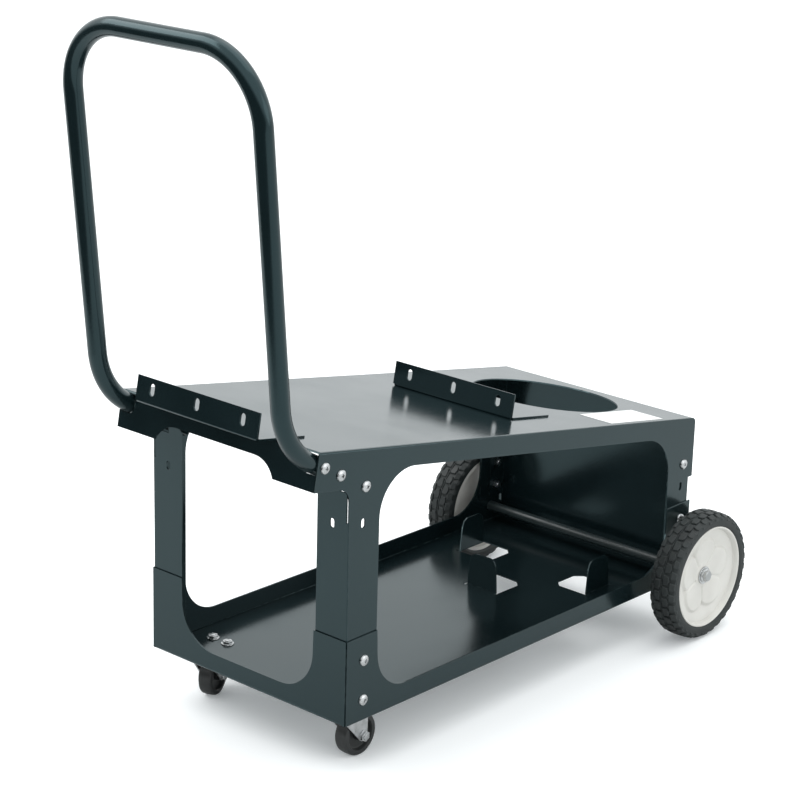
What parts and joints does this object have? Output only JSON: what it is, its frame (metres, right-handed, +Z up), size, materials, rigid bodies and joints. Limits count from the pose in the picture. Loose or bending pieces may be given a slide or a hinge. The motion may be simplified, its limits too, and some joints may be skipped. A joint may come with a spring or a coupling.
{
  "type": "welder cart",
  "caption": "Two-level sheet-metal workshop cart with a sloping shelf, bottle hole, low tray, tall bent push handle, rear tread wheels and front swivel casters.",
  "frame": {"origin": "on the floor, at the middle of the overall box in X and Y, under the cart's middle plane", "axes": "+X to the cart's right seen from the handle, +Y from the handle end to the large rear wheels, +Z up"},
  "size_m": [0.511, 1.0352, 1.0254],
  "materials": {
    "powder_coat": "gloss",
    "handle_coat": "gloss",
    "axle_coat": "satin",
    "label": "satin",
    "tyre": "matte",
    "hub": "satin",
    "caster_tread": "satin",
    "zinc_plate": "satin",
    "zinc_hardware": "bright zinc"
  },
  "bodies": {
    "frame": {"upper_shelf": "powder_coat", "rear_panel": "powder_coat", "lower_tray": "powder_coat", "handle_tube": "handle_coat", "front_stop_bracket": "powder_coat", "rear_stop_bracket": "powder_coat", "shelf_label": "label", "handle_screws": "zinc_hardware", "leg_screws": "zinc_hardware", "leg_nuts": "zinc_hardware", "axle": "axle_coat", "axle_spacers": "zinc_hardware", "axle_washers": "zinc_hardware", "axle_nuts": "zinc_hardware", "left_caster_plate": "zinc_plate", "right_caster_plate": "zinc_plate", "kingpins": "zinc_hardware", "caster_screws": "zinc_hardware", "caster_nuts": "zinc_hardware"},
    "left_wheel": {"left_tyre": "tyre", "left_hub": "hub"},
    "right_wheel": {"right_tyre": "tyre", "right_hub": "hub"},
    "left_swivel": {"left_fork": "zinc_plate", "left_caster_bolt": "zinc_hardware", "left_caster_nut": "zinc_hardware"},
    "right_swivel": {"right_fork": "zinc_plate", "right_caster_bolt": "zinc_hardware", "right_caster_nut": "zinc_hardware"},
    "left_caster": {"left_caster_wheel": "caster_tread"},
    "right_caster": {"right_caster_wheel": "caster_tread"}
  },
  "joints": [
    {"name": "left_wheel_spin", "type": "hinge", "parent": "frame", "child": "left_wheel", "pos_m": [-0.218, 0.41601, 0.1016], "axis": [1, 0, 0], "continuous": true},
    {"name": "right_wheel_spin", "type": "hinge", "parent": "frame", "child": "right_wheel", "pos_m": [0.234, 0.41601, 0.1016], "axis": [1, 0, 0], "continuous": true},
    {"name": "left_caster_swivel", "type": "hinge", "parent": "frame", "child": "left_swivel", "pos_m": [-0.135, -0.29469, 0.0776], "axis": [0, 0, 1], "continuous": true},
    {"name": "right_caster_swivel", "type": "hinge", "parent": "frame", "child": "right_swivel", "pos_m": [0.135, -0.29469, 0.0776], "axis": [0, 0, 1], "continuous": true},
    {"name": "left_caster_spin", "type": "hinge", "parent": "left_swivel", "child": "left_caster", "pos_m": [-0.14549, -0.26873, 0.032], "axis": [0.9272, 0.3746, 0], "continuous": true},
    {"name": "right_caster_spin", "type": "hinge", "parent": "right_swivel", "child": "right_caster", "pos_m": [0.135, -0.26669, 0.032], "axis": [1, 0, 0], "continuous": true}
  ]
}
